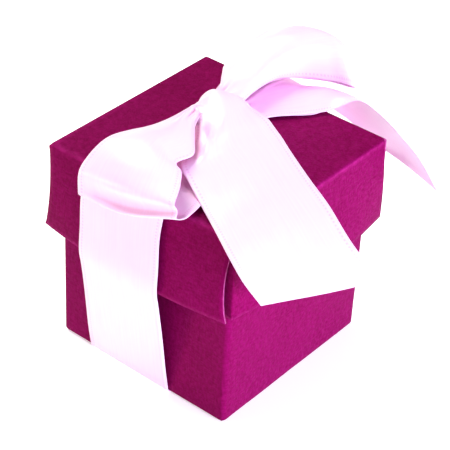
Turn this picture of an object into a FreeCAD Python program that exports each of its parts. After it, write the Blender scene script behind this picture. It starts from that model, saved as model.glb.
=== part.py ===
"""A small two-piece gift box of folded card, tied with a satin ribbon in a bow.

Millimetres, +Z up, origin at the middle of the underside. The ribbon runs round the box in the YZ plane:
under the base, up the front (-Y) and the back (+Y), and over the lid, where it is knotted and bowed.
The base and the lid are each one blank of card, made here panel by panel, as they lie between their folds.
"""

import FreeCAD, Part
import math
import os
import Sketcher

SIZES = [
    ("card", 0.5, "thickness of the card"),
    ("base_width", 50.0, "base, outside, along X"),
    ("base_depth", 50.0, "base, outside, along Y"),
    ("base_height", 52.4, "base, from its bottom fold to its rim"),
    ("bottom_fit", 0.2, "play of the bottom panel and the dust flaps between the walls"),
    ("tuck_length", 13.0, "tuck flap, up the inside of the front wall"),
    ("dust_length", 17.0, "dust flaps, in from the side walls"),
    ("glue_width", 12.0, "glue flap, along the back wall"),
    ("flap_taper", 3.0, "how far the flaps narrow at their free edge"),
    ("lid_play", 1.5, "between the base's walls and the inside of the lid at its top"),
    ("lid_skirt", 20.8, "lid, from its top to its lower edge"),
    ("seat_gap", 0.1, "between the base's rim and the lid's top panel"),
    ("flare_front", 1.7, "how far the front and back panels lean out at their lower corners"),
    ("flare_side", 0.15, "how far the side panels lean out at their lower corners"),
    ("edge_bow", 2.2, "how far a panel's lower edge bows out between its corners"),
    ("tab_length", 14.0, "corner tabs, behind the front and back panels"),
    ("tab_gap", 0.1, "between a corner tab and the panel in front of it"),
    ("tab_flare", 0.9, "how far the corner tabs lean out at their lower end"),
    ("tab_short", 0.8, "how far the corner tabs stop above the lid's lower edge"),
    ("ribbon_width", 25.0, "ribbon, from selvedge to selvedge"),
    ("ribbon_thick", 0.3, "ribbon, thickness"),
    ("ribbon_shift", 4.0, "how far the ribbon lies towards -X of the middle"),
    ("ribbon_gap", 0.15, "between the ribbon and the card"),
    ("layer_gap", 0.4, "between layers of ribbon on the lid"),
    ("knot_length", 9.0, "knot, along X"),
    ("knot_width", 8.0, "knot, along Y"),
    ("knot_height", 6.0, "knot, above the ribbon on the lid"),
    ("knot_round", 0.6, "how far the knot's sides and top round out"),
    ("neck", 1.0, "height of a loop where it leaves the knot"),
    ("loop_reach_front", 5.6, "front loop, beyond the lid's front edge"),
    ("loop_stand_front", 1.9, "front loop, off the lid's front where it hangs"),
    ("loop_hang_front", 5.5, "front loop, its fold below the lid's top"),
    ("loop_rise_front", 8.7, "front loop, its highest point above the lid's top"),
    ("crest_in_front", 4.7, "front loop, its highest point inside the lid's edge"),
    ("swell_rise_front", 2.5, "front loop, its height where it swells out from under the front tail"),
    ("loop_reach_back", 9.0, "back loop, beyond the lid's back edge"),
    ("loop_flat_back", 5.4, "back loop, beyond the lid's back edge along its lower layer"),
    ("loop_rise_back", 9.2, "back loop, its highest point above the lid's top"),
    ("crest_out_back", 1.0, "back loop, its highest point beyond the lid's edge"),
    ("swell_in_back", 7.0, "back loop, inside the lid's edge where it swells out of its neck"),
    ("swell_rise_back", 5.3, "back loop, its height there"),
    ("front_turn", -20.0, "front tail's direction, in degrees from +X"),
    ("front_over", 11.0, "front tail, its level part over the knot"),
    ("front_out", 13.0, "front tail, outwards past the lid's edge"),
    ("front_drop", 9.5, "front tail, its end below the lid's top"),
    ("front_lift", 1.6, "front tail, above the lid's top at its edge"),
    ("back_turn", 75.0, "back tail's direction, in degrees from +X"),
    ("back_out", 12.0, "back tail, outwards past the lid's edge"),
    ("back_drop", 12.0, "back tail, its end below the lid's top"),
]

doc = FreeCAD.newDocument("gift_box")
sheet = doc.addObject("Spreadsheet::Sheet", "Sizes")
parts = []


class Size:
    """A length that keeps both its number and the spreadsheet formula that gives it."""

    def __init__(self, number, formula):
        self.number = number
        self.formula = formula

    def __add__(self, other):
        other = as_size(other)
        return Size(self.number + other.number, f"({self.formula} + {other.formula})")

    def __sub__(self, other):
        other = as_size(other)
        return Size(self.number - other.number, f"({self.formula} - {other.formula})")

    def __mul__(self, other):
        other = as_size(other)
        return Size(self.number * other.number, f"({self.formula} * {other.formula})")

    def __truediv__(self, other):
        other = as_size(other)
        return Size(self.number / other.number, f"({self.formula} / {other.formula})")

    def __neg__(self):
        return Size(-self.number, f"(-1 * {self.formula})")


def as_size(value):
    return value if isinstance(value, Size) else Size(float(value), f"({value})")


def cosine(angle):
    return Size(math.cos(math.radians(angle.number)), f"cos({angle.formula} * 1 deg)")


def sine(angle):
    return Size(math.sin(math.radians(angle.number)), f"sin({angle.formula} * 1 deg)")


def read_sizes():
    """Fills the spreadsheet, and returns its cells by alias."""
    cells = {}
    for row, (alias, number, note) in enumerate(SIZES, start=1):
        sheet.set(f"A{row}", alias)
        sheet.set(f"B{row}", str(number))
        sheet.setAlias(f"B{row}", alias)
        sheet.set(f"C{row}", note)
        cells[alias] = Size(number, f"Sizes.{alias}")
    doc.recompute()
    return cells


def new_body(label):
    body = doc.addObject("PartDesign::Body", label)
    body.Label = label
    parts.append(body)
    return body


def new_sketch(body, name, role, level):
    """A sketch on one of the body's origin planes, moved along the plane's normal to level."""
    sketch = body.newObject("Sketcher::SketchObject", f"{body.Name}_{name}")
    plane = next(f for f in body.Origin.OriginFeatures if f.Role == role)
    sketch.AttachmentSupport = [(plane, "")]
    sketch.MapMode = "FlatFace"
    sketch.setExpression("AttachmentOffset.Base.z", level.formula)
    return sketch


def fix_number(sketch, kind, *places, size):
    index = sketch.addConstraint(Sketcher.Constraint(kind, *places, size.number))
    sketch.setExpression(f"Constraints[{index}]", size.formula)


def fix_point(sketch, edge, end, corner):
    fix_number(sketch, "DistanceX", edge, end, size=corner[0])
    fix_number(sketch, "DistanceY", edge, end, size=corner[1])


def vector(corner):
    return FreeCAD.Vector(corner[0].number, corner[1].number, 0)


def add_arc(sketch, first, last, rise, out):
    """An arc from first to last whose middle stands rise beyond their chord, towards out. Returns its ends."""
    a, b = vector(first), vector(last)
    middle = (a + b) * 0.5 + FreeCAD.Vector(*out, 0) * rise.number
    edge = sketch.addGeometry(Part.Arc(a, middle, b))
    start = 1 if sketch.getPoint(edge, 1).isEqual(a, 1e-6) else 2
    along = 0 if out[0] == 0 else 1
    chord = last[along] - first[along]
    fix_number(sketch, "Radius", edge, size=chord * chord / (rise * 8) + rise / 2)
    return edge, start, 3 - start


def closed_outline(sketch, corners, bows=None):
    """Straight edges from corner to corner. bows gives {edge: (rise, out)} for the edges that are arcs."""
    edges = []
    for i, corner in enumerate(corners):
        after = corners[(i + 1) % len(corners)]
        if bows and i in bows:
            edges.append(add_arc(sketch, corner, after, *bows[i]))
        else:
            edge = sketch.addGeometry(Part.LineSegment(vector(corner), vector(after)))
            edges.append((edge, 1, 2))
    for i, (edge, start, _) in enumerate(edges):
        before, _, end = edges[i - 1]
        sketch.addConstraint(Sketcher.Constraint("Coincident", before, end, edge, start))
        fix_point(sketch, edge, start, corners[i])


def open_path(sketch, points):
    edges = []
    for first, last in zip(points, points[1:]):
        edges.append(sketch.addGeometry(Part.LineSegment(vector(first), vector(last))))
    for before, after in zip(edges, edges[1:]):
        sketch.addConstraint(Sketcher.Constraint("Coincident", before, 2, after, 1))
    for edge, point in zip(edges, points):
        fix_point(sketch, edge, 1, point)
    fix_point(sketch, edges[-1], 2, points[-1])


def rectangle(x_low, x_high, y_low, y_high):
    return [(x_low, y_low), (x_high, y_low), (x_high, y_high), (x_low, y_high)]


def pad(label, role, level, corners, length, reverse=False, bows=None):
    """A plate: the outline on an origin plane at level, padded along the plane's normal or against it."""
    body = new_body(label)
    outline = new_sketch(body, "outline", role, level)
    closed_outline(outline, corners, bows)
    plate = body.newObject("PartDesign::Pad", f"{label}_pad")
    plate.Profile = outline
    plate.setExpression("Length", length.formula)
    plate.Reversed = reverse
    outline.Visibility = False
    return body


def side_corners(side, span, face, thick):
    """A strip seen from above on one side of the box: span is its two ends along the side, face its outer face."""
    turns = {
        "front": lambda s, r: (s, -r),
        "back": lambda s, r: (-s, r),
        "right": lambda s, r: (r, s),
        "left": lambda s, r: (-r, -s),
    }
    low, high = span
    inner = face - thick
    return [turns[side](s, r) for s, r in ((low, face), (high, face), (high, inner), (low, inner))]


def upright(label, side, thick, top, bottom, bow=None):
    """A sheet that stands on one side of the box. top and bottom are (height, span, outer face), and bow is
    how far its lower edge rounds outwards."""
    out = {"front": (0, -1), "back": (0, 1), "right": (1, 0), "left": (-1, 0)}[side]
    body = new_body(label)
    sections = []
    for name, (height, span, face), rise in (("top", top, None), ("bottom", bottom, bow)):
        section = new_sketch(body, name, "XY_Plane", height)
        bows = {0: (rise, out), 2: (rise, out)} if rise else None
        closed_outline(section, side_corners(side, span, face, thick), bows)
        section.Visibility = False
        sections.append(section)
    loft = body.newObject("PartDesign::AdditiveLoft", f"{label}_loft")
    loft.Profile = sections[0]
    loft.Sections = [sections[1]]
    loft.Ruled = True
    return body


def ribbon_run(label, points, across, thick, turn=None, centre=None):
    """A length of ribbon that follows points (along, height) from a level start. across is its two selvedges.
    Without turn it runs along Y; with it, it runs away from centre at that angle from +X."""
    body = new_body(label)
    path_role, section_role = ("YZ_Plane", "XZ_Plane") if turn is None else ("XZ_Plane", "YZ_Plane")
    start, height = points[0]
    path = new_sketch(body, "path", path_role, as_size(0))
    open_path(path, points)
    section = new_sketch(body, "section", section_role, -start if turn is None else start)
    closed_outline(section, rectangle(*across, height - thick / 2, height + thick / 2))
    sweep = body.newObject("PartDesign::AdditivePipe", f"{label}_sweep")
    sweep.Profile = section
    sweep.Spine = path
    sweep.Transition = "Right corner"
    path.Visibility = False
    section.Visibility = False
    if turn is not None:
        body.setExpression("Placement.Base.x", centre.formula)
        body.setExpression("Placement.Rotation.Angle", f"{turn.formula} * 1 deg")
        body.Placement.Rotation.Axis = FreeCAD.Vector(0, 0, 1)
    return body


def make_base(s):
    """The base's blank: a sleeve of walls with a glue flap, closed below by a tucked bottom panel."""
    half_x, half_y = s["base_width"] / 2, s["base_depth"] / 2
    in_x, in_y = half_x - s["card"], half_y - s["card"]
    low = s["ribbon_thick"]
    above = low + s["card"]
    across = in_x - s["bottom_fit"]
    walls = {
        "base_front_wall": rectangle(-half_x, half_x, -half_y, -in_y),
        "base_back_wall": rectangle(-half_x, half_x, in_y, half_y),
        "base_left_wall": rectangle(-half_x, -in_x, -in_y, in_y),
        "base_right_wall": rectangle(in_x, half_x, -in_y, in_y),
    }
    for label, corners in walls.items():
        pad(label, "XY_Plane", low, corners, s["base_height"])
    pad("base_bottom_panel", "XY_Plane", low, rectangle(-across, across, -in_y, in_y), s["card"])

    taper = s["flap_taper"]
    tuck_top = above + s["tuck_length"]
    tuck = [(-across, above), (across, above), (across - taper, tuck_top), (taper - across, tuck_top)]
    pad("base_tuck_flap", "XZ_Plane", in_y, tuck, s["card"], reverse=True)

    deep = in_y - s["card"] - s["bottom_fit"]
    reach = in_x - s["dust_length"]
    for label, side in (("base_left_dust_flap", -1), ("base_right_dust_flap", 1)):
        flap = [
            (in_x * side, -deep),
            (in_x * side, deep),
            (reach * side, deep - taper),
            (reach * side, taper - deep),
        ]
        pad(label, "XY_Plane", above, flap, s["card"])

    glue_low, glue_high = above + s["card"] + s["bottom_fit"], low + s["base_height"]
    glue = [
        (-in_x, glue_low),
        (s["glue_width"] - in_x, glue_low + taper),
        (s["glue_width"] - in_x, glue_high - taper),
        (-in_x, glue_high),
    ]
    pad("base_glue_flap", "XZ_Plane", -in_y, glue, s["card"])


def lid_halves(s):
    """Half the lid's outside width and depth at its top."""
    grow = s["lid_play"] + s["card"]
    return s["base_width"] / 2 + grow, s["base_depth"] / 2 + grow


def lid_levels(s):
    """The heights of the lid's top, of its top panel's underside and of its lower edge."""
    under = s["ribbon_thick"] + s["base_height"] + s["seat_gap"]
    top = under + s["card"]
    return top, under, top - s["lid_skirt"]


def make_lid(s):
    """The lid's blank: a top panel, four panels folded down, and corner tabs tucked behind front and back."""
    top, under, hem = lid_levels(s)
    half_x, half_y = lid_halves(s)
    card, bow = s["card"], s["edge_bow"]
    pad("lid_top_panel", "XY_Plane", under, rectangle(-half_x, half_x, -half_y, half_y), card)
    wide = half_x + s["flare_side"]
    for side in ("front", "back"):
        upper = (under, (-half_x, half_x), half_y)
        lower = (hem, (-wide, wide), half_y + s["flare_front"])
        upright(f"lid_{side}_panel", side, card, upper, lower, bow)
    end = half_y - card
    for side in ("left", "right"):
        upper = (under, (-end, end), half_x)
        lower = (hem, (-(end + s["tab_flare"]), end + s["tab_flare"]), wide)
        upright(f"lid_{side}_panel", side, card, upper, lower, bow)
    face = end - s["tab_gap"]
    for side in ("front", "back"):
        for hand in ("left", "right"):
            first = [half_x - card - s["tab_length"], half_x - card]
            second = [wide - card - s["tab_length"] + s["flap_taper"], wide - card]
            if (side == "front") == (hand == "left"):
                first = [-first[1], -first[0]]
                second = [-second[1], -second[0]]
            lower = (hem + s["tab_short"], second, face + s["tab_flare"])
            upright(f"lid_tab_{side}_{hand}", side, card, (under, first, face), lower)


def make_band(s):
    """The ribbon's round of the box: flat below and above, and standing off the base under the lid's edge."""
    top, _, hem = lid_levels(s)
    thick = s["ribbon_thick"]
    left = -(s["ribbon_shift"] + s["ribbon_width"] / 2)
    right = left + s["ribbon_width"]
    proud = s["ribbon_gap"] + thick
    at_base = s["base_depth"] / 2 + proud
    at_top = lid_halves(s)[1] + proud
    at_hem = at_top + s["flare_front"] + s["edge_bow"]
    pad("ribbon_bottom_strip", "XY_Plane", as_size(0), rectangle(left, right, -at_base, at_base), thick)
    pad("ribbon_top_strip", "XY_Plane", top, rectangle(left, right, -at_top, at_top), thick)
    for side in ("front", "back"):
        span = (left, right) if side == "front" else (-right, -left)
        lower = ((hem - s["ribbon_gap"], span, at_hem), (thick, span, at_base))
        upper = ((top, span, at_top), (hem, span, at_hem))
        upright(f"ribbon_{side}_lower", side, thick, *lower)
        upright(f"ribbon_{side}_upper", side, thick, *upper)
    return left, right


def make_bow(s, left, right):
    """The knot on the lid, the two loops, and the two tails: one laid over the knot, one under the back loop."""
    top = lid_levels(s)[0]
    thick, gap = s["ribbon_thick"], s["layer_gap"]
    seat = top + thick
    low_layer = seat + gap + thick / 2
    loop_layer = low_layer + thick + gap
    half_width, half_length = s["knot_width"] / 2, s["knot_length"] / 2
    middle = -s["ribbon_shift"]
    knot_top = seat + s["knot_height"]
    bulge = s["knot_round"]
    pad(
        "ribbon_knot",
        "YZ_Plane",
        middle - half_length,
        rectangle(-half_width, half_width, seat, knot_top),
        s["knot_length"],
        bows={1: (bulge, (1, 0)), 2: (bulge, (0, 1)), 3: (bulge, (-1, 0))},
    )

    lid_half_x, lid_half_y = lid_halves(s)
    half_ribbon = s["ribbon_width"] / 2
    across = (-half_ribbon, half_ribbon)
    turn = s["front_turn"]
    past_loops = (right - middle + half_ribbon * sine(-turn)) / cosine(turn)
    selvedge = past_loops * sine(-turn) + half_ribbon * cosine(turn)
    past_lid = (lid_half_x - middle + half_ribbon * sine(-turn)) / cosine(turn) + gap
    height = knot_top + bulge + gap + thick / 2
    tail = [
        (-half_length, height),
        (s["front_over"], height),
        (past_lid, top + s["front_lift"]),
        (past_lid + s["front_out"], top - s["front_drop"]),
    ]
    ribbon_run("ribbon_tail_front", tail, across, thick, turn, middle)

    start = half_width + bulge + gap
    edge = lid_half_y + s["ribbon_gap"] + thick
    nose = edge + s["loop_reach_front"]
    stand = s["loop_stand_front"]
    hang = top - s["loop_hang_front"]
    crest = top + s["loop_rise_front"]
    front = [
        (-start, loop_layer),
        (-(edge + stand / 2), loop_layer),
        (-(edge + stand), hang + stand),
        (-(edge + nose + stand) / 2, hang),
        (-nose, hang + stand),
        (-nose, loop_layer),
        (-(edge + stand / 2), crest - stand / 2),
        (-(edge - s["crest_in_front"]), crest),
        (-selvedge, loop_layer + s["swell_rise_front"]),
        (-start, loop_layer + s["neck"]),
    ]
    ribbon_run("ribbon_loop_front", front, (left, right), thick)

    nose = edge + s["loop_reach_back"]
    crest = top + s["loop_rise_back"]
    back = [
        (start, loop_layer),
        (edge + s["loop_flat_back"], loop_layer),
        (nose, (loop_layer * 2 + crest) / 3),
        (nose - stand, crest - stand),
        (edge + s["crest_out_back"], crest),
        (edge - s["swell_in_back"], loop_layer + s["swell_rise_back"]),
        (start, loop_layer + s["neck"]),
    ]
    ribbon_run("ribbon_loop_back", back, (left, right), thick)

    turn = s["back_turn"]
    clear = half_length * cosine(turn) + (half_width + bulge) * sine(turn) + gap
    over_edge = (edge + half_ribbon * cosine(turn)) / sine(turn) + gap
    tail = [
        (clear, low_layer),
        (over_edge, low_layer),
        (over_edge + s["back_out"], top - s["back_drop"]),
    ]
    ribbon_run("ribbon_tail_back", tail, across, thick, turn, middle)


def check_and_write():
    doc.recompute()
    for item in doc.Objects:
        if "Invalid" in item.State or "Error" in item.State:
            raise RuntimeError(f"{item.Label} failed: {item.State}")
    for body in parts:
        shape = body.Shape
        if shape.isNull() or not shape.isValid() or len(shape.Solids) != 1:
            raise RuntimeError(f"{body.Label} is not one valid solid")
    os.makedirs("parts", exist_ok=True)
    for body in parts:
        body.Shape.exportStep(f"parts/{body.Label}.step")


sizes = read_sizes()
make_base(sizes)
make_lid(sizes)
make_bow(sizes, *make_band(sizes))
check_and_write()
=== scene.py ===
import math

import bmesh
import bpy
import numpy as np
from mathutils import Matrix, Vector, noise


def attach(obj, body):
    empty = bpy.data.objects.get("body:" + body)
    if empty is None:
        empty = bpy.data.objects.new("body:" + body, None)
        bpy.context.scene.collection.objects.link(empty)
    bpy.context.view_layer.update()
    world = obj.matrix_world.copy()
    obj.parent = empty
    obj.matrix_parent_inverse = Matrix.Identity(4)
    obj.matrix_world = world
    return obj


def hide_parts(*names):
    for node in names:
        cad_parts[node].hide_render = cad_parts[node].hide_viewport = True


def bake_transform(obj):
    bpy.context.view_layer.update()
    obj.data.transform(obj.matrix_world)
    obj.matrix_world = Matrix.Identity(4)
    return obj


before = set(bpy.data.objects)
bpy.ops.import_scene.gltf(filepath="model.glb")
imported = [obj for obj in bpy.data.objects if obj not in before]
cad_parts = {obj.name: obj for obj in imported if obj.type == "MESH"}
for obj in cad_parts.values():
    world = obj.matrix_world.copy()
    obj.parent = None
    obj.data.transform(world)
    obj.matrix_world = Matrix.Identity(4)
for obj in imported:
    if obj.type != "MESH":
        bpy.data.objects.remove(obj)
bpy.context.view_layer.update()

MM = 0.001

# The card box in millimetres, as in the frame. The lid's size follows from the base's.
CARD = 0.5
BASE_HALF = 25.0
BASE_FOOT = 0.3
BASE_RIM = 52.7
LID_PLAY = 1.5
LID_GAP = 0.1
LID_SKIRT = 20.8
LID_HALF = BASE_HALF + LID_PLAY + CARD
LID_TOP = BASE_RIM + LID_GAP + CARD
LID_HEM = LID_TOP - LID_SKIRT
FOLD = 0.6
CORNER_ROUND = 1.2
FOOT_TUCK = 0.45
FOOT_TURN = 0.7
WALL_START = 2.0
SEAM_STEP = 0.06
TAB_FOLD = 0.4
TAB_TOP = LID_HALF - CARD
TAB_SPREAD = 0.45
TAB_LENGTH = 14.0
TAB_TAPER = 1.6

# How far the folded card is from true, in millimetres; LID_TILT is a slope.
FLARE_FRONT = 1.7
FLARE_SIDE = 0.15
FLARE_BACK = 0.3
FLARE_START = 2.2
EDGE_BOW = 2.2
BOW_BACK = 0.8
EDGE_PULL = 1.3
PULL_FULLNESS = 0.7
HEM_NARROW = 0.1
CORNER_SWING = 1.1
SWING_FADE = 1.5
LID_TILT = 0.011
TOP_UNEVEN = 0.12
LID_UNEVEN = 0.12
BASE_UNEVEN = 0.1

# The ribbon in millimetres. Its pieces' lengths are measured along their middle lines.
RIBBON_WIDTH = 25.0
RIBBON_THICK = 0.18
KNOT_THICK = 0.12

# Colours, as linear light.
# CARD_EDGE_HIGHLIGHT is a painted highlight: the paler card where the folds and edges of the lid and
# base catch the light.
CARD_EDGE_HIGHLIGHT = (0.30, 0.010, 0.125, 1)
CARD_LIGHT = (0.222, 0.0030, 0.080, 1)
CARD_DARK = (0.132, 0.0010, 0.037, 1)
CARD_SHINE = (1.0, 0.04, 0.5, 1)
EDGE_PALE = (0.42, 0.045, 0.22, 1)
EDGE_DEEP = (0.29, 0.012, 0.12, 1)
SATIN_LIGHT = (0.97, 0.605, 0.83, 1)
SATIN_DEEP = (0.96, 0.57, 0.80, 1)
SATIN_STITCH = (0.86, 0.38, 0.66, 1)
PAPER_LIGHT = (0.93, 0.93, 0.93, 1)
PAPER_DARK = (0.90, 0.90, 0.90, 1)

# How dense the grain is along each axis: the card's in a metre, the satin's in a ribbon's width.
UPRIGHT_GRAIN = (2300, 2300, 1100)
LEVEL_GRAIN = (800, 800, 2500)
EDGE_FIBRE = (2500, 2500, 900)
STREAKS = (60, 1.6, 1)
SLUBS = (16, 90, 1)

# The satin's selvedge and weave, in millimetres.
HEM_WIDTH = 1.05
STITCH_STEP = 0.75
WARP_STEP = 0.24
WEFT_STEP = 0.3

# The studio: places and sizes in metres, powers in watts.
FLOOR_HALF = 20.0
FLOOR_GLOW = 0.45
FAR_GLOW = 0.85
GLOW_START = 0.35
GLOW_END = 0.9
WORLD_LIGHT = 0.33
WORLD_COLOUR = (1.0, 0.92, 0.82, 1)
LAMP_AIM = (0, 0, 0.03)
KEY_PLACE = (0.78, -0.08, 0.16)
KEY_SIZE = 0.5
KEY_POWER = 13.9
KEY_COLOUR = (0.93, 0.93, 1.36)
FILL_PLACE = (-0.66, -0.66, 0.15)
FILL_SIZE = 0.16
FILL_POWER = 2.9
FILL_COLOUR = (1.0, 0.78, 0.66)
TOP_PLACE = (-0.45, 0.08, 0.58)
TOP_SIZE = 0.35
TOP_POWER = 6.3
TOP_COLOUR = (1, 1, 1)

# The camera: its aim, distance, lens and sensor in millimetres, its angles in degrees, and the
# nearest that it sees in metres.
VIEW_AIM = (0.8, 2.7, 29.3)
VIEW_AZIMUTH = 37.95
VIEW_ELEVATION = 35.51
VIEW_ROLL = 3.33
VIEW_DISTANCE = 386.0
VIEW_LENS = 131.8
VIEW_SENSOR = 36
VIEW_NEAR = 0.01


# ---------------------------------------------------------------- curves of one number

def smooth_step(t):
    """0 below 0, 1 above 1 and smooth between."""
    t = min(1.0, max(0.0, t))
    return t * t * (3 - 2 * t)


def bell(t, width):
    """One hump of height 1 that is gone beyond width on either side."""
    return math.cos(math.pi / 2 * min(1.0, abs(t) / width)) ** 2


def near(value, target, reach):
    """1 at the target, falling to 0 at reach away from it."""
    return max(0.0, 1 - abs(value - target) / reach)


def spread(i, count):
    """Where step i of count lies, from -1 to 1."""
    return 2 * i / count - 1


# ---------------------------------------------------------------- meshes

def smooth_line(points, places):
    """The smooth curve through points, read at the given shares of its length."""
    p = np.asarray(points, float)
    step = np.linalg.norm(np.diff(p, axis=0), axis=1)
    knots = np.concatenate([[0.0], np.cumsum(step)])
    return hermite(p, knots, np.asarray(places) * knots[-1])


def hermite(p, knots, at):
    """Values of the cubic through p at its knots, with slopes from the points beside each."""
    slope = np.gradient(p, knots, axis=0)
    k = np.clip(np.searchsorted(knots, at, side="right") - 1, 0, len(knots) - 2)
    width = (knots[k + 1] - knots[k])[:, None]
    t = ((at - knots[k]) / (knots[k + 1] - knots[k]))[:, None]
    a = 2 * t**3 - 3 * t**2 + 1
    b = t**3 - 2 * t**2 + t
    c = -2 * t**3 + 3 * t**2
    d = t**3 - t**2
    return a * p[k] + b * width * slope[k] + c * p[k + 1] + d * width * slope[k + 1]


def loft(ribs, across, along):
    """A grid of points, along by across, through ribs that each cross the cloth."""
    places = np.linspace(0, 1, across)
    rows = np.array([smooth_line(rib, places) for rib in ribs])
    step = np.linalg.norm(np.diff(rows, axis=0), axis=2).mean(axis=1)
    knots = np.concatenate([[0.0], np.cumsum(step)])
    at = np.linspace(0, knots[-1], along)
    flat = rows.reshape(len(rows), -1)
    return hermite(flat, knots, at).reshape(along, across, 3)


def normals(grid):
    """The unit normal at each point of a grid."""
    du = np.gradient(grid, axis=1)
    dv = np.gradient(grid, axis=0)
    n = np.cross(du, dv)
    return n / np.maximum(np.linalg.norm(n, axis=2, keepdims=True), 1e-9)


def grid_faces(rows, columns, first=0):
    """The quads of a grid of rows by columns points."""
    faces = []
    for j in range(rows - 1):
        for i in range(columns - 1):
            a = first + j * columns + i
            faces.append((a, a + 1, a + columns + 1, a + columns))
    return faces


def mesh_object(name, points, faces, uvs=None):
    """A smooth-shaded object from points in millimetres."""
    mesh = bpy.data.meshes.new(name)
    mesh.from_pydata([tuple(float(c) * MM for c in p) for p in points], [], faces)
    if uvs is not None:
        layer = mesh.uv_layers.new(name="UVMap")
        for loop in mesh.loops:
            layer.data[loop.index].uv = uvs[loop.vertex_index]
    mesh.polygons.foreach_set("use_smooth", [True] * len(mesh.polygons))
    mesh.update()
    thing = bpy.data.objects.new(name, mesh)
    bpy.context.scene.collection.objects.link(thing)
    return thing


def weld_outward(thing, distance=0.02):
    """Joins points that lie on each other and turns the faces away from the middle of the box."""
    bm = bmesh.new()
    bm.from_mesh(thing.data)
    bmesh.ops.remove_doubles(bm, verts=bm.verts, dist=distance * MM)
    bmesh.ops.recalc_face_normals(bm, faces=bm.faces)
    middle = Vector((0, 0, LID_HEM * MM))
    facing = sum((f.calc_center_median() - middle).dot(f.normal) * f.calc_area() for f in bm.faces)
    if facing < 0:
        bmesh.ops.reverse_faces(bm, faces=bm.faces)
    bm.to_mesh(thing.data)
    bm.free()


def solidify(thing, thickness, offset, rim=0):
    """Gives the sheet its thickness in millimetres."""
    mod = thing.modifiers.new("thickness", "SOLIDIFY")
    mod.thickness = thickness * MM
    mod.offset = offset
    mod.use_even_offset = True
    mod.material_offset_rim = rim


# ---------------------------------------------------------------- nodes

class Tree:
    """Short ways to add and join the nodes of one material."""

    def __init__(self, name):
        self.material = bpy.data.materials.new(name)
        self.material.use_nodes = True
        self.nodes = self.material.node_tree.nodes
        self.links = self.material.node_tree.links
        self.shader = self.nodes["Principled BSDF"]

    def add(self, kind, **settings):
        """A new node with some of its properties set."""
        node = self.nodes.new(kind)
        for key, value in settings.items():
            setattr(node, key, value)
        return node

    def put(self, socket, value):
        """Links a socket to another, or sets it to a plain value."""
        if isinstance(value, bpy.types.NodeSocket):
            self.links.new(value, socket)
        else:
            socket.default_value = value

    def math(self, operation, a, b=0.0):
        """The result of an operation on one or two values."""
        node = self.add("ShaderNodeMath", operation=operation)
        self.put(node.inputs[0], a)
        self.put(node.inputs[1], b)
        return node.outputs[0]

    def total(self, *parts):
        """The sum of values that each come with a weight."""
        terms = [self.math("MULTIPLY", value, weight) for value, weight in parts]
        result = terms[0]
        for term in terms[1:]:
            result = self.math("ADD", result, term)
        return result

    def shade(self, name, value):
        """Sets an input of the shader, or links a socket to it."""
        self.put(self.shader.inputs[name], value)

    def scaled(self, vector, scale):
        """A vector stretched along each axis."""
        node = self.add("ShaderNodeMapping")
        self.put(node.inputs["Vector"], vector)
        node.inputs["Scale"].default_value = scale
        return node.outputs[0]

    def noise(self, vector, scale, detail=2.0, rough=0.5):
        """Cloudy noise from 0 to 1."""
        node = self.add("ShaderNodeTexNoise")
        self.put(node.inputs["Vector"], vector)
        node.inputs["Scale"].default_value = scale
        node.inputs["Detail"].default_value = detail
        node.inputs["Roughness"].default_value = rough
        return node.outputs["Fac"]

    def fit(self, value, low, high, to_low=0.0, to_high=1.0):
        """The value carried smoothly from one range to another."""
        node = self.add("ShaderNodeMapRange", interpolation_type="SMOOTHSTEP")
        self.put(node.inputs[0], value)
        node.inputs[1].default_value = low
        node.inputs[2].default_value = high
        node.inputs[3].default_value = to_low
        node.inputs[4].default_value = to_high
        return node.outputs[0]

    def blend(self, share, a, b):
        """Colour a where share is 0 and colour b where it is 1."""
        node = self.add("ShaderNodeMix", data_type="RGBA")
        self.put(node.inputs[0], share)
        self.put(node.inputs[6], a)
        self.put(node.inputs[7], b)
        return node.outputs[2]

    def bump(self, height, strength, distance):
        """Small relief on the surface; the distance is in millimetres."""
        node = self.add("ShaderNodeBump")
        node.inputs["Strength"].default_value = strength
        node.inputs["Distance"].default_value = distance * MM
        self.put(node.inputs["Height"], height)
        self.shade("Normal", node.outputs[0])


def card_material():
    """Dyed card with a fine crossed grain, soft mottling and a painted highlight, paler card along its
    folds and edges.
    """
    t = Tree("magenta_card")
    here = t.add("ShaderNodeTexCoord").outputs["Object"]
    upright = t.noise(t.scaled(here, UPRIGHT_GRAIN), scale=1.0, detail=3.0)
    level = t.noise(t.scaled(here, LEVEL_GRAIN), scale=1.0, detail=3.0)
    grain = t.math("ADD", upright, level)
    mottle = t.noise(here, scale=620.0, detail=4.0, rough=0.6)
    cloud = t.noise(here, scale=70.0)
    tone = t.total((grain, 0.6), (mottle, 0.2), (cloud, 0.2))
    colours = t.blend(t.fit(tone, low=0.48, high=1.12), CARD_DARK, CARD_LIGHT)
    # Painted highlight: paler card along the folds and edges, broken up by the mottling.
    highlighted = t.add("ShaderNodeAttribute", attribute_name="edge_highlight").outputs["Fac"]
    highlight_speck = t.math("MULTIPLY", highlighted, t.fit(mottle, low=0.35, high=0.65, to_low=0.35))
    t.shade("Base Color", t.blend(highlight_speck, colours, CARD_EDGE_HIGHLIGHT))
    t.shade("Roughness", t.fit(grain, low=0.6, high=1.4, to_low=0.62, to_high=0.48))
    t.shade("Specular IOR Level", 0.02)
    t.shade("Specular Tint", CARD_SHINE)
    t.bump(t.total((grain, 1.0), (mottle, 0.3)), strength=0.45, distance=0.16)
    return t.material


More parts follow.
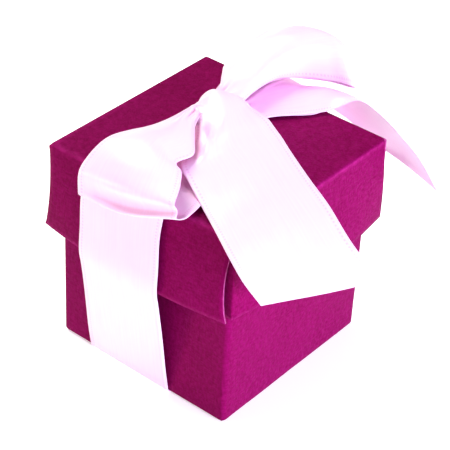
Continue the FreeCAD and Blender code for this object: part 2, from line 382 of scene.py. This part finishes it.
def edge_material():
    """The raw cut edge of the card, a little paler than its faces, with the core's fibres."""
    t = Tree("card_cut_edge")
    here = t.add("ShaderNodeTexCoord").outputs["Object"]
    fibre = t.noise(t.scaled(here, EDGE_FIBRE), scale=1.0, detail=3.0)
    t.shade("Base Color", t.blend(t.fit(fibre, low=0.35, high=0.65), EDGE_DEEP, EDGE_PALE))
    t.shade("Roughness", 0.8)
    t.bump(fibre, strength=0.5, distance=0.06)
    return t.material


def wave(t, place, step):
    """A sine wave of one cycle each step, along place."""
    return t.math("SINE", t.math("MULTIPLY", place, 2 * math.pi / step))


def stitches(t, from_edge, along):
    """A dotted line where the woven hem begins."""
    aside = t.math("ABSOLUTE", t.math("SUBTRACT", from_edge, HEM_WIDTH))
    line = t.fit(aside, low=0.1, high=0.3, to_low=1.0, to_high=0.0)
    return t.math("MULTIPLY", line, t.fit(wave(t, along, STITCH_STEP), low=-0.2, high=0.5))


def satin_material():
    """Pale pink satin ribbon with a fine weave, long streaks and a dotted woven selvedge."""
    t = Tree("pink_satin")
    uv = t.add("ShaderNodeTexCoord").outputs["UV"]
    parts = t.add("ShaderNodeSeparateXYZ")
    t.put(parts.inputs[0], uv)
    across = t.math("MULTIPLY", parts.outputs[0], RIBBON_WIDTH)
    along = t.math("MULTIPLY", parts.outputs[1], RIBBON_WIDTH)
    from_edge = t.math("MINIMUM", across, t.math("SUBTRACT", RIBBON_WIDTH, across))
    hem = t.fit(from_edge, low=0.75, high=HEM_WIDTH, to_low=1.0, to_high=0.0)
    stitch = stitches(t, from_edge, along)
    weft = t.math("MULTIPLY", wave(t, along, WEFT_STEP), hem)
    warp = wave(t, across, WARP_STEP)
    streak = t.noise(t.scaled(uv, STREAKS), scale=1.0, detail=3.0, rough=0.6)
    slub = t.noise(t.scaled(uv, SLUBS), scale=1.0)
    body = t.blend(t.fit(streak, low=0.3, high=0.7), SATIN_DEEP, SATIN_LIGHT)
    t.shade("Base Color", t.blend(t.math("MULTIPLY", stitch, 0.75), body, SATIN_STITCH))
    t.shade("Roughness", t.fit(streak, low=0.3, high=0.7, to_low=0.42, to_high=0.34))
    t.shade("Specular IOR Level", 0.85)
    t.shade("Subsurface Weight", 0.5)
    t.shade("Subsurface Radius", (1.0, 0.8, 0.95))
    t.shade("Subsurface Scale", 0.4 * MM)
    t.shade("Sheen Weight", 0.05)
    t.shade("Sheen Roughness", 0.4)
    height = t.total((warp, 0.25), (streak, 0.5), (slub, 0.5), (weft, 0.8), (stitch, -1.5))
    t.bump(height, strength=0.35, distance=0.05)
    return t.material


def floor_material():
    """Plain white paper with painted light: it glows weakly near the box, which lightens the box's
    shadows on it, and more far from the box, where the lamps don't reach.
    """
    t = Tree("white_paper")
    here = t.add("ShaderNodeTexCoord").outputs["Object"]
    tooth = t.noise(here, scale=900.0, detail=3.0)
    reach = t.add("ShaderNodeVectorMath", operation="LENGTH")
    t.put(reach.inputs[0], here)
    glow = t.fit(reach.outputs["Value"], GLOW_START, GLOW_END, FLOOR_GLOW, FAR_GLOW)
    t.shade("Base Color", t.blend(tooth, PAPER_DARK, PAPER_LIGHT))
    t.shade("Roughness", 0.9)
    t.shade("Specular IOR Level", 0.1)
    t.shade("Emission Color", (1, 1, 1, 1))
    t.shade("Emission Strength", glow)
    return t.material


# ---------------------------------------------------------------- card box

def flare(t, most):
    """How far a lid panel has swung out at share t of its height."""
    return most * (FLARE_START * t - (FLARE_START - 1) * t * t)


def bow(t, s, most):
    """How far a lid panel bellies out at share t of its height, s from -1 to 1 between its ends."""
    deepening = 1.5
    fullness = 2.2
    return most * t**deepening * (1 - abs(s) ** fullness)


def waver(x, y, z, size):
    """A slow unevenness of the card, in millimetres."""
    scale = 0.09
    start = 3.7
    return size * noise.noise(Vector((x * scale, y * scale, z * scale + start)))


def skirt_height(t):
    """The height of the lid's side at share t of the way from the top fold to the hem."""
    return LID_TOP - FOLD + (LID_HEM - LID_TOP + FOLD) * t


def panel_grid(most, belly, half_top, half_hem, pull=0.0, columns=40, rows=22, arc=5):
    """Outer face of a lid side as (sideways, outward, up), from the top fold down to the hem."""
    grid = []
    inner = LID_HALF - FOLD
    for j in range(arc):
        turn = math.pi / 2 * j / arc
        wide = inner + (half_top - inner) * j / arc
        out = inner + FOLD * math.sin(turn)
        z = LID_TOP - FOLD + FOLD * math.cos(turn)
        grid.append([(spread(i, columns) * wide, out, z) for i in range(columns + 1)])
    for j in range(rows + 1):
        t = j / rows
        narrowed = pull * math.sin(math.pi * t) ** PULL_FULLNESS
        wide = half_top + (half_hem - half_top) * t - narrowed
        z = skirt_height(t)
        row = []
        for i in range(columns + 1):
            s = spread(i, columns)
            out = LID_HALF + flare(t, most) + bow(t, s, belly)
            row.append((s * wide, out + waver(s * wide, out, z, LID_UNEVEN) * t, z))
        grid.append(row)
    return np.array(grid)


def turned(grid, quarter):
    """A panel made for the -Y side, turned to another side in quarter turns."""
    side, out, up = grid[..., 0], grid[..., 1], grid[..., 2]
    x, y = side, -out
    for _ in range(quarter):
        x, y = -y, x
    return np.stack([x, y, up], axis=-1)


def tab_edge(t, spread_out):
    """How far sideways a tab's fold stands; it opens over the first third of the height."""
    return TAB_TOP + spread_out * min(1.0, 3 * t)


def tab_grid(spread_out, swing, rows=22, arc=4, columns=6):
    """A glue tab behind the flared panel, at the +s end of a side panel."""
    grid = []
    for j in range(rows + 1):
        t = j / rows
        z = skirt_height(t)
        edge = tab_edge(t, spread_out)
        out = LID_HALF + flare(t, swing)
        row = [(edge - TAB_FOLD, out, z)]
        for i in range(1, arc + 1):
            turn = math.pi / 2 * i / arc
            side = edge - TAB_FOLD + TAB_FOLD * math.sin(turn)
            row.append((side, out - TAB_FOLD + TAB_FOLD * math.cos(turn), z))
        for i in range(1, columns + 1):
            reach = (TAB_LENGTH - TAB_FOLD) * i / columns
            taper = TAB_TAPER * (2 * t - 1) * i / columns
            row.append((edge, out - TAB_FOLD - reach, z + taper))
        grid.append(row)
    return np.array(grid)


def mirrored(grid):
    """The grid with its sideways direction reversed."""
    other = grid.copy()
    other[..., 0] *= -1
    return other[:, ::-1]


def side_and_tabs(at_front, arc=5):
    """A left or right panel with its two tabs; at_front is the sideways sign of its front end."""
    start = TAB_TOP - TAB_FOLD
    side = panel_grid(FLARE_SIDE, EDGE_BOW, start, start, arc=arc)
    last = len(side) - 1
    for j in range(arc, last + 1):
        t = (j - arc) / (last - arc)
        share = (at_front * side[j, :, 0] / start + 1) / 2
        side[j, :, 0] += at_front * share * (tab_edge(t, TAB_SPREAD) - TAB_TOP)
        side[j, :, 1] += flare(t, CORNER_SWING) * (1 - share) ** SWING_FADE
    wide = tab_grid(TAB_SPREAD, FLARE_SIDE)
    close = tab_grid(0.0, FLARE_SIDE + CORNER_SWING)
    if at_front > 0:
        return [side, wide, mirrored(close)]
    return [side, mirrored(wide), close]


def tilted(z, y):
    """The lid sits a little higher at the back."""
    return z + LID_TILT * (y + LID_HALF)


def join_grids(name, grids):
    """One welded mesh from several grids, with its faces outward."""
    points, faces = [], []
    for grid in grids:
        rows, columns = grid.shape[:2]
        faces += grid_faces(rows, columns, len(points))
        points += [tuple(p) for p in grid.reshape(-1, 3)]
    thing = mesh_object(name, points, faces)
    weld_outward(thing)
    return thing


def edge_highlight(thing, amount):
    """Stores how much painted highlight each point gets, from its place in millimetres."""
    values = [amount(*(c / MM for c in v.co)) for v in thing.data.vertices]
    layer = thing.data.attributes.new("edge_highlight", "FLOAT", "POINT")
    layer.data.foreach_set("value", np.array(values, np.float32))


def card_shell(name, grids, highlighted, card, edge):
    """A folded blank of card from the grids of its outer face."""
    shell = join_grids(name, grids)
    # Each point stores its share of the painted edge highlight.
    edge_highlight(shell, highlighted)
    shell.data.materials.append(card)
    shell.data.materials.append(edge)
    solidify(shell, CARD, -1, rim=1)
    return shell


def lid_top():
    """The lid's flat top, up to its folds, with a slight unevenness in the middle."""
    inner = LID_HALF - FOLD
    steps = np.linspace(-inner, inner, 41)
    scale = 0.06
    start = 1.3
    top = np.zeros((len(steps), len(steps), 3))
    for j, y in enumerate(steps):
        for i, x in enumerate(steps):
            free = (1 - (x / inner) ** 2) * (1 - (y / inner) ** 2)
            lift = TOP_UNEVEN * free * noise.noise(Vector((x * scale, y * scale, start)))
            top[j, i] = (x, y, LID_TOP + lift)
    return top


def make_lid(card, edge):
    """The lid blank: a square top, four sides folded down and four tabs behind the front and back."""
    front = panel_grid(FLARE_FRONT, EDGE_BOW, LID_HALF, LID_HALF - HEM_NARROW, EDGE_PULL)
    back = panel_grid(FLARE_BACK, BOW_BACK, LID_HALF, LID_HALF)
    grids = [lid_top(), turned(front, 0), turned(back, 2)]
    grids += [turned(g, 1) for g in side_and_tabs(at_front=-1)]
    grids += [turned(g, 3) for g in side_and_tabs(at_front=1)]
    for grid in grids:
        grid[..., 2] = tilted(grid[..., 2], grid[..., 1])
    lid = card_shell("lid_shell", grids, lid_highlight, card, edge)
    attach(lid, "lid")
    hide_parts("lid_top_panel", "lid_front_panel", "lid_back_panel", "lid_left_panel",
                "lid_right_panel", "lid_tab_front_left", "lid_tab_front_right",
                "lid_tab_back_left", "lid_tab_back_right")


def lid_highlight(x, y, z):
    """Painted highlight: the lid is paler along its top folds and its hem, where they catch the light.
    """
    fold_width = 0.7
    below_top = 0.15
    hem_share = 0.7
    at_fold = max(abs(x), abs(y)) > LID_HALF - fold_width
    fold = near(z, LID_TOP - below_top, reach=0.55) if at_fold else 0.0
    hem = hem_share * near(z, LID_HEM, reach=0.5)
    return max(fold, hem)


def base_outline(half, radius, per_side=26, arc=6):
    """Points round the base from the back left corner, where its raw edge is glued, as (x, y)."""
    corners = [(-1, -1), (1, -1), (1, 1), (-1, 1)]
    points = []
    start = half - radius
    for k in range(4):
        cx, cy = corners[k]
        px, py = corners[k - 1]
        wide = half if px == cx else start
        deep = half if py == cy else start
        first = np.array([px * wide, py * deep])
        last = np.array([cx * wide, cy * deep])
        # At the glued corner the left wall's raw edge lies within the back wall's thickness.
        if k == 0:
            first[1] = half - CARD / 2
        if k == 3:
            last[0] = SEAM_STEP - half
        for i in range(per_side + 1):
            points.append(first + (last - first) * i / per_side)
        if k == 3:
            break
        middle = np.array([cx * start, cy * start])
        out = last - middle
        for i in range(1, arc):
            turn = math.pi / 2 * i / arc
            spin = np.array([[math.cos(turn), -math.sin(turn)], [math.sin(turn), math.cos(turn)]])
            points.append(middle + spin @ out)
    return np.array(points)


def wall_point(x, y, h):
    """A point of a base wall at height h above the foot, moved in or out by the card's unevenness."""
    off = waver(x, y, h, BASE_UNEVEN)
    if abs(x) > abs(y):
        x += off
    elif abs(y) > abs(x):
        y += off
    return (x, y, BASE_FOOT + h)


def make_base(card, edge):
    """The base blank's four walls as one folded sleeve, with a soft turn under at the foot."""
    foot = [0.0, 0.12, 0.35, FOOT_TURN]
    wall = np.linspace(WALL_START, BASE_RIM - BASE_FOOT, 26)
    rows = []
    for h in [*foot, *wall]:
        tuck = FOOT_TUCK * max(0.0, 1 - h / FOOT_TURN) ** 2
        outline = base_outline(BASE_HALF - tuck, CORNER_ROUND)
        rows.append([wall_point(x, y, h) for x, y in outline])
    base = card_shell("base_sleeve", [np.array(rows)], base_highlight, card, edge)
    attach(base, "base")
    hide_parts("base_front_wall", "base_back_wall", "base_left_wall", "base_right_wall")


def base_highlight(x, y, z):
    """Painted highlight: the base is paler along its foot and down its corners, where they catch the
    light.
    """
    corner_share = 0.2
    foot = near(z, BASE_FOOT, reach=0.5)
    corner = corner_share * near(min(abs(x), abs(y)), BASE_HALF, reach=0.8)
    return max(foot, corner)


def dress_flaps(card):
    """Card for the flaps and the bottom that stay as they are in the frame."""
    for name in ("base_bottom_panel", "base_tuck_flap", "base_left_dust_flap",
                 "base_right_dust_flap", "base_glue_flap"):
        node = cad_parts[name]
        for slot in node.material_slots:
            slot.material = card
        if not node.material_slots:
            node.data.materials.append(card)


# ---------------------------------------------------------------- ribbon

def ribbon_piece(name, grid, satin, ripple=None, thickness=RIBBON_THICK):
    """A length of ribbon from a grid of points, with its weave laid out along it."""
    rows, columns = grid.shape[:2]
    u = np.linspace(0, 1, columns)
    step = np.linalg.norm(np.diff(grid, axis=0), axis=2).mean(axis=1)
    v = np.concatenate([[0.0], np.cumsum(step)]) / RIBBON_WIDTH
    if ripple is not None:
        lift = np.array([[ripple(a, b / v[-1]) for a in u] for b in v])
        grid = grid + normals(grid) * lift[..., None]
    uvs = [(a, b) for b in v for a in u]
    thing = mesh_object(name, grid.reshape(-1, 3), grid_faces(rows, columns), uvs)
    thing.data.materials.append(satin)
    solidify(thing, thickness, 0)
    return thing


def on_lid(piece, node):
    """The piece is a length of the ribbon that rides on the lid."""
    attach(piece, "lid")
    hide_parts(node)


def band_path():
    """Side view of the ring round the box as (y, z), from under the middle round the front."""
    under = [(0, 0.15), (-12, 0.15), (-23.2, 0.15), (-24.9, 0.22), (-25.35, 0.9), (-25.7, 2.6)]
    front = [(-28.4, 17.5), (-30.6, 29.0), (-31.3, 32.6), (-31.35, 34.4), (-30.5, 40.0), (-28.9, 48.0)]
    over = [(-27.75, 52.2), (-27.25, 53.3), (-26.2, 53.58), (-24.0, 53.5), (-14.0, 53.5), (-6, 53.5)]
    back = [(-26.7, 17.5), (-28.0, 29.0), (-28.6, 32.6), (-28.6, 34.4), (-28.2, 40.0), (-27.8, 48.0)]
    behind = [(-y, z) for y, z in (under + back + over)[::-1]]
    return under + front + over + [(0, 53.5)] + behind


def band_lift(z):
    """0 at the foot and 1 a little above the lid's hem."""
    full_height = 34.0
    return smooth_step(z / full_height)


def band_gather(y, z):
    """How far the band is drawn together beneath the knot, from 0 to 1."""
    core = 11.0
    fade = 15.0
    top_zone = 0.3
    if z <= LID_TOP - top_zone:
        return 0.0
    return 1 - smooth_step((abs(y) - core) / fade)


def band_middle(y, z, gather):
    """Where the band's middle line is sideways; the bow pulls it aside on the lid and at its front."""
    at_foot = -3.3
    at_hem = -2.0
    knot_pull = 1.8
    front_pull = 1.4
    climb_from = LID_HEM + 2.0
    climb = 14.0
    pulled = front_pull * smooth_step((z - climb_from) / climb) if y < 0 else 0.0
    wander = at_foot + (at_hem - at_foot) * band_lift(z)
    return wander - knot_pull * gather - pulled * (1 - gather)


def band_cup(y, z, s):
    """How far the band's selvedges stand nearer the box than its middle, on the box's sides."""
    depth = 0.7
    top_zone = 1.0
    if z >= LID_TOP - top_zone:
        return 0.0
    return depth * band_lift(z) * (1 - s * s) * (1 if y < 0 else -1)


def make_band(satin):
    """One closed ring of ribbon under, round and over the box, gathered beneath the knot."""
    line = smooth_line(band_path(), np.linspace(0, 1, 190))
    columns = 27
    narrowing = 0.66
    pleat_height = 0.45
    pleats = 4.5
    foot_trim = 0.35
    hem_trim = 0.55
    grid = np.zeros((len(line), columns, 3))
    for j, (y, z) in enumerate(line):
        gather = band_gather(y, z)
        middle = band_middle(y, z, gather)
        half = RIBBON_WIDTH / 2 - foot_trim - hem_trim * band_lift(z)
        half *= 1 - narrowing * gather
        raised = (tilted(z, y) - z) * smooth_step((z - LID_HEM) / (LID_TOP - LID_HEM))
        for i in range(columns):
            s = spread(i, columns - 1)
            pleat = pleat_height * gather * (1 + math.cos(s * pleats * math.pi))
            grid[j, i] = (middle + s * half, y - band_cup(y, z, s), z + pleat + raised)
    band = ribbon_piece("ribbon_band", grid, satin)
    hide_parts("ribbon_bottom_strip", "ribbon_front_lower", "ribbon_back_lower",
                "ribbon_front_upper", "ribbon_back_upper", "ribbon_top_strip")
    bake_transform(band)


# The ribs that each loop and tail is lofted through, in millimetres. They follow the ribbon from
# the knot, and each goes from one selvedge to the other.

FRONT_LOOP = [
    [(-7.5, -2.5, 56.0), (-4.0, -2.8, 56.6), (-0.5, -2.5, 56.0)],
    [(-10.5, -8, 54.6), (-4.0, -9, 54.8), (3.0, -8, 54.8)],
    [(-14.0, -17, 54.3), (-3, -18, 54.3), (11.0, -16.5, 54.5)],
    [(-15.4, -24, 54.2), (-2.5, -25, 54.3), (14.4, -23.8, 54.6)],
    [(-15.2, -28.6, 52.6), (-1.5, -28.8, 53.8), (14.7, -26.6, 54.3)],
    [(-13.4, -29.8, 49.9), (-0.8, -29.9, 51.0), (14.7, -28.6, 54.1)],
    [(-12.3, -31.1, 48.6), (-0.2, -31.2, 49.8), (14.4, -29.9, 54.3)],
    [(-12.4, -32.6, 49.3), (0, -33.0, 50.7), (14.2, -31.1, 55.1)],
    [(-13.3, -31.9, 50.5), (0, -31.4, 51.8), (13.8, -30.3, 56.0)],
    [(-13.9, -30.9, 53.9), (-0.5, -32.9, 56.2), (12.9, -30.3, 57.6)],
    [(-13.9, -28.2, 56.4), (-1.0, -29.8, 59.6), (11.4, -27.2, 58.9)],
    [(-12.8, -23.6, 59.4), (-1.6, -24.5, 62.2), (8.8, -23.4, 60.2)],
    [(-11.0, -17.8, 59.7), (-3.4, -18.0, 62.4), (4.9, -20.2, 59.8)],
    [(-9.8, -14.6, 59.5), (-3.2, -14.8, 62.0), (5.4, -15.8, 59.6)],
    [(-8.8, -11.0, 59.4), (-3.4, -11.2, 61.6), (2.4, -11.8, 59.8)],
    [(-8.0, -6.5, 59.4), (-4.9, -7.2, 61.2), (-1.2, -7.4, 60.2)],
    [(-7.4, -1.0, 59.6), (-5.6, -2.4, 60.8), (-3.6, -2.8, 60.6)],
]

BACK_LOOP = [
    [(-7.5, 2.8, 56.2), (-5, 3, 56.6), (-3, 2.9, 56.8), (-0.5, 2.8, 57.0)],
    [(-11, 10, 55.6), (-8, 10.3, 55.8), (-5, 10.5, 56.4), (-2.6, 10, 58.0)],
    [(-14.0, 18, 55.4), (-10, 19, 55.7), (-7, 19.4, 56.2), (-4.0, 18.6, 57.8)],
    [(-14.6, 26, 55.4), (-10, 27, 55.8), (-6.5, 26.6, 56.2), (-3.9, 25.3, 57.2)],
    [(-14.3, 33, 55.0), (-8.5, 33.6, 55.8), (-4.0, 32.0, 56.0), (-0.7, 29.9, 56.9)],
    [(-13.8, 37.5, 55.8), (-6.5, 38.5, 55.8), (0.0, 36.8, 56.0), (5.4, 33.8, 56.9)],
    [(-13, 39, 58.6), (-5, 41, 58.4), (2.6, 40.0, 57.6), (9.8, 35.4, 56.6)],
    [(-13.4, 38.0, 61.6), (-4.5, 41.0, 63.0), (5.0, 40.8, 61.4), (11.4, 35.6, 57.0)],
    [(-14.0, 34, 63.0), (-5.4, 37.2, 66.2), (5.0, 38.0, 65.2), (10.4, 34.9, 57.5)],
    [(-15.0, 28.6, 61.8), (-7.4, 31.4, 66.2), (1.6, 33.6, 65.6), (6.0, 33.6, 57.5)],
    [(-15.8, 23.6, 59.9), (-9.0, 25.8, 65.0), (-1.4, 28.8, 64.6), (-0.4, 29.8, 57.4)],
    [(-14.8, 18.9, 59.2), (-9.4, 19.8, 63.0), (-3.2, 22.8, 63.0), (-3.6, 25.3, 57.7)],
    [(-12.0, 14.7, 59.7), (-7.8, 15.0, 61.4), (-3.6, 16.6, 61.2), (-3.6, 18.6, 58.4)],
    [(-9.5, 10.6, 59.2), (-6.8, 10, 60.6), (-4.0, 10.2, 60.6), (-2.2, 10.8, 58.9)],
    [(-7.6, 2.0, 59.6), (-5.4, 2, 60.6), (-3.4, 2, 60.6), (-1.6, 2, 59.4)],
]

FRONT_TAIL = [
    [(-6.6, -1.0, 55.2), (-7.2, 0.2, 55.2), (-8.0, 1.5, 55.2), (-8.6, 4.0, 54.8)],
    [(-7.4, -1.2, 57.6), (-7.9, 0.6, 58.4), (-9.0, 3.4, 58.8), (-10.4, 6.8, 56.8)],
    [(-6.2, -1.6, 59.6), (-5.4, 0.2, 60.7), (-6.6, 4.4, 62.0), (-8.9, 8.0, 59.6)],
    [(-4.6, -3.0, 59.2), (-2.2, -1.8, 60.8), (-3.0, 3.6, 62.3), (-4.6, 9.8, 59.9)],
    [(-3.0, -5.0, 58.6), (0.8, -4.2, 60.4), (0.6, 1.2, 61.7), (-0.6, 9.0, 60.0)],
    [(-0.5, -8.5, 57.0), (3.9, -7.3, 60.4), (3.4, -1.4, 60.9), (3.2, 7.6, 60.0)],
    [(1.0, -12.5, 56.7), (5.3, -10.6, 60.1), (5.4, -3.0, 60.2), (5.8, 7.0, 60.2)],
    [(2.6, -15.8, 57.3), (6.2, -13.6, 59.3), (7.0, -4.6, 59.4), (8.4, 6.3, 60.2)],
    [(4.4, -18.6, 57.4), (7.2, -15.6, 58.2), (9.2, -6.2, 58.6), (11.0, 5.4, 59.5)],
    [(7.5, -20.1, 56.5), (9.6, -16.4, 57.2), (12.2, -8.2, 57.8), (13.6, 4.4, 58.9)],
    [(14.0, -23.2, 54.7), (15.2, -18.2, 55.6), (17.0, -10.5, 56.7), (17.8, 2.4, 58.0)],
    [(21.5, -27.4, 54.0), (22.6, -22.0, 54.5), (24.5, -14.0, 55.2), (26.5, -1.6, 56.4)],
    [(28.3, -30.8, 52.3), (29.4, -25.4, 52.9), (31.2, -17.6, 53.6), (34.4, -5.0, 55.0)],
    [(33.0, -31.4, 48.4), (35.1, -26.6, 48.8), (38.2, -19.4, 49.4), (43.5, -8.0, 50.8)],
    [(36.4, -29.4, 43.1), (39.5, -25.0, 43.5), (44.0, -18.5, 44.0), (51.0, -7.0, 44.8)],
]

BACK_TAIL = [
    [(-1.0, 1.0, 55.0), (-3.0, 3.5, 55.4), (-6.0, 5.5, 55.0)],
    [(0.6, 7.0, 54.6), (-4.0, 10.0, 54.9), (-9.0, 13.0, 54.6)],
    [(2.6, 14.4, 54.5), (-3.6, 18.6, 55.2), (-11.0, 23.0, 54.4)],
    [(7.1, 20.2, 54.6), (2.0, 25.0, 56.4), (-6.0, 32.5, 53.8)],
    [(11.5, 26.3, 55.0), (7.0, 30.8, 56.8), (1.6, 38.0, 47.5)],
    [(16.7, 29.9, 58.2), (12.5, 35.0, 54.8), (7.6, 40.2, 44.4)],
    [(22.5, 30.4, 56.6), (17.4, 36.2, 51.0), (11.2, 41.4, 42.0)],
    [(28.5, 30.2, 53.8), (22.6, 37.0, 47.4), (13.6, 42.6, 40.4)],
    [(34.0, 31.6, 48.6), (26.4, 38.0, 43.8), (14.4, 43.2, 39.6)],
    [(38.1, 34.0, 40.9), (26.6, 38.8, 40.2), (14.6, 43.2, 39.0)],
]


# How much the gathers sway along the ribbon and differ across it, in radians.
SWAY = 0.5
UNEQUAL = 2.1


def gathers(depth, folds, reach, both_ends=True):
    """Small folds that fan out from the knot and die away at reach, a share of the length."""
    def lift(u, v):
        away = min(v, 1 - v) if both_ends else v
        strength = (1 - smooth_step(away / reach)) * depth
        sway = SWAY * math.sin(5 * v + 9 * u)
        unequal = UNEQUAL * math.sin(3 * u)
        return strength * math.cos(2 * math.pi * folds * u + sway + unequal)
    return lift


def back_loop_folds(u, v):
    """Gathers at the knot, and a soft waviness of the under layer."""
    depth = 0.7
    waves = 3.0
    grown = 0.1
    dying = 0.3
    fade = 0.12
    under = smooth_step(v / grown) * (1 - smooth_step((v - dying) / fade))
    soft = depth * under * math.cos(2 * math.pi * waves * u + 4 * v)
    return gathers(depth=0.5, folds=4.0, reach=0.16)(u, v) + soft


def make_front_loop(satin):
    """The puffed loop that leaves the knot towards the front and droops over the lid's edge."""
    grid = loft(FRONT_LOOP, across=49, along=140)
    folds = gathers(depth=0.4, folds=3.5, reach=0.15)
    loop = ribbon_piece("bow_loop_front", grid, satin, folds)
    on_lid(loop, "ribbon_loop_front")


def make_back_loop(satin):
    """The puffed loop behind the knot."""
    grid = loft(BACK_LOOP, across=49, along=150)
    loop = ribbon_piece("bow_loop_back", grid, satin, back_loop_folds)
    on_lid(loop, "ribbon_loop_back")


def front_tail_folds(u, v):
    """Gathers at the knot, and the hollow with a curled rim beside the front loop's mouth."""
    curl_place = 0.30
    hollow_place = 0.14
    hollow_depth = 1.2
    rim_place = 0.24
    rim_height = 0.55
    curl = bell(v - curl_place, width=0.11)
    hollow = hollow_depth * bell(u - hollow_place, width=0.10)
    rim = rim_height * bell(u - rim_place, width=0.05)
    at_knot = gathers(depth=0.35, folds=3.5, reach=0.17, both_ends=False)(u, v)
    return at_knot * (1 - curl) + curl * (hollow - rim)


def make_front_tail(satin):
    """The tail that rises over the knot, lies across the lid and droops past its corner."""
    grid = loft(FRONT_TAIL, across=49, along=120)
    tail = ribbon_piece("bow_tail_front", grid, satin, front_tail_folds)
    on_lid(tail, "ribbon_tail_front")


def make_back_tail(satin):
    """The tail that passes under the back loop and droops behind the box."""
    grid = loft(BACK_TAIL, across=49, along=110)
    folds = gathers(depth=0.45, folds=4.0, reach=0.3, both_ends=False)
    tail = ribbon_piece("bow_tail_back", grid, satin, folds)
    on_lid(tail, "ribbon_tail_back")


def knot_pleats(s, drift):
    """Height of the knot's pleats at s from -1 to 1 across it, less where it slopes to its sides."""
    broad_height = 0.55
    broad_pleats = 5.6
    fine_height = 0.3
    fine_pleats = 9.4
    slope = 0.9
    broad = broad_height * math.cos(s * broad_pleats * math.pi + drift)
    fine = fine_height * math.cos(s * fine_pleats * math.pi - 2 * drift)
    return broad + fine - slope * s * s


def make_knot(satin):
    """The gathered wrap that holds the bow together."""
    ring = [(-1.5, 54.0), (-4.0, 53.8), (-7.5, 54.2), (-9.2, 56.8), (-7.6, 59.2), (-4.2, 60.0),
            (-1.0, 59.2), (0.6, 56.8), (-0.6, 54.4)]
    line = smooth_line(ring, np.linspace(0, 1, 72))
    middle = np.array([-4.2, 56.9])
    half = 5.2
    drift_most = 0.5
    drift_rate = 0.13
    columns = 65
    grid = np.zeros((len(line), columns, 3))
    for j, place in enumerate(line):
        out = (place - middle) / np.linalg.norm(place - middle)
        drift = drift_most * math.sin(j * drift_rate)
        for i in range(columns):
            s = spread(i, columns - 1)
            x, z = place + out * knot_pleats(s, drift)
            grid[j, i] = (x, s * half, z)
    knot = ribbon_piece("bow_knot", grid, satin, thickness=KNOT_THICK)
    on_lid(knot, "ribbon_knot")


# ---------------------------------------------------------------- studio

def make_camera():
    """The camera at the photograph's angle."""
    turn = math.radians(VIEW_AZIMUTH)
    rise = math.radians(VIEW_ELEVATION)
    roll = math.radians(VIEW_ROLL)
    back = Vector((math.sin(turn) * math.cos(rise), -math.cos(turn) * math.cos(rise), math.sin(rise)))
    level = Vector((math.cos(turn), math.sin(turn), 0))
    upright = back.cross(level)
    right = level * math.cos(roll) + upright * math.sin(roll)
    up = back.cross(right)
    data = bpy.data.cameras.new("camera")
    data.lens = VIEW_LENS
    data.sensor_width = VIEW_SENSOR
    data.clip_start = VIEW_NEAR
    camera = bpy.data.objects.new("camera", data)
    place = Matrix((right, up, back)).transposed().to_4x4()
    place.translation = (Vector(VIEW_AIM) + back * VIEW_DISTANCE) * MM
    camera.matrix_world = place
    bpy.context.scene.collection.objects.link(camera)
    bpy.context.scene.camera = camera


def area_light(name, place, size, power, colour):
    """A soft square lamp that looks at the box; all in metres and watts."""
    data = bpy.data.lights.new(name, "AREA")
    data.size = size
    data.energy = power
    data.color = colour
    lamp = bpy.data.objects.new(name, data)
    lamp.location = place
    lamp.rotation_euler = (Vector(LAMP_AIM) - Vector(place)).to_track_quat("-Z", "Y").to_euler()
    bpy.context.scene.collection.objects.link(lamp)


def make_world():
    """A weak warm light from all round."""
    world = bpy.data.worlds.new("studio")
    world.use_nodes = True
    sky = world.node_tree.nodes["Background"]
    sky.inputs["Color"].default_value = WORLD_COLOUR
    sky.inputs["Strength"].default_value = WORLD_LIGHT
    bpy.context.scene.world = world


def make_floor():
    """A wide sheet of white paper under the box."""
    size = FLOOR_HALF / MM
    corners = [(-size, -size, 0), (size, -size, 0), (size, size, 0), (-size, size, 0)]
    floor = mesh_object("floor", corners, [(0, 1, 2, 3)])
    floor.data.materials.append(floor_material())


def make_studio():
    """A white floor, a key lamp on the right, a weak fill on the left and a lamp high at the back."""
    make_world()
    area_light("key", KEY_PLACE, KEY_SIZE, KEY_POWER, KEY_COLOUR)
    area_light("fill", FILL_PLACE, FILL_SIZE, FILL_POWER, FILL_COLOUR)
    area_light("top", TOP_PLACE, TOP_SIZE, TOP_POWER, TOP_COLOUR)
    make_floor()
    view = bpy.context.scene.view_settings
    view.view_transform = "Standard"
    view.look = "None"
    view.exposure = 0.0
    view.gamma = 1.0


make_camera()
make_studio()
magenta_card = card_material()
cut_edge = edge_material()
pink_satin = satin_material()
make_lid(magenta_card, cut_edge)
make_base(magenta_card, cut_edge)
dress_flaps(magenta_card)
make_band(pink_satin)
make_knot(pink_satin)
make_front_loop(pink_satin)
make_back_loop(pink_satin)
make_front_tail(pink_satin)
make_back_tail(pink_satin)
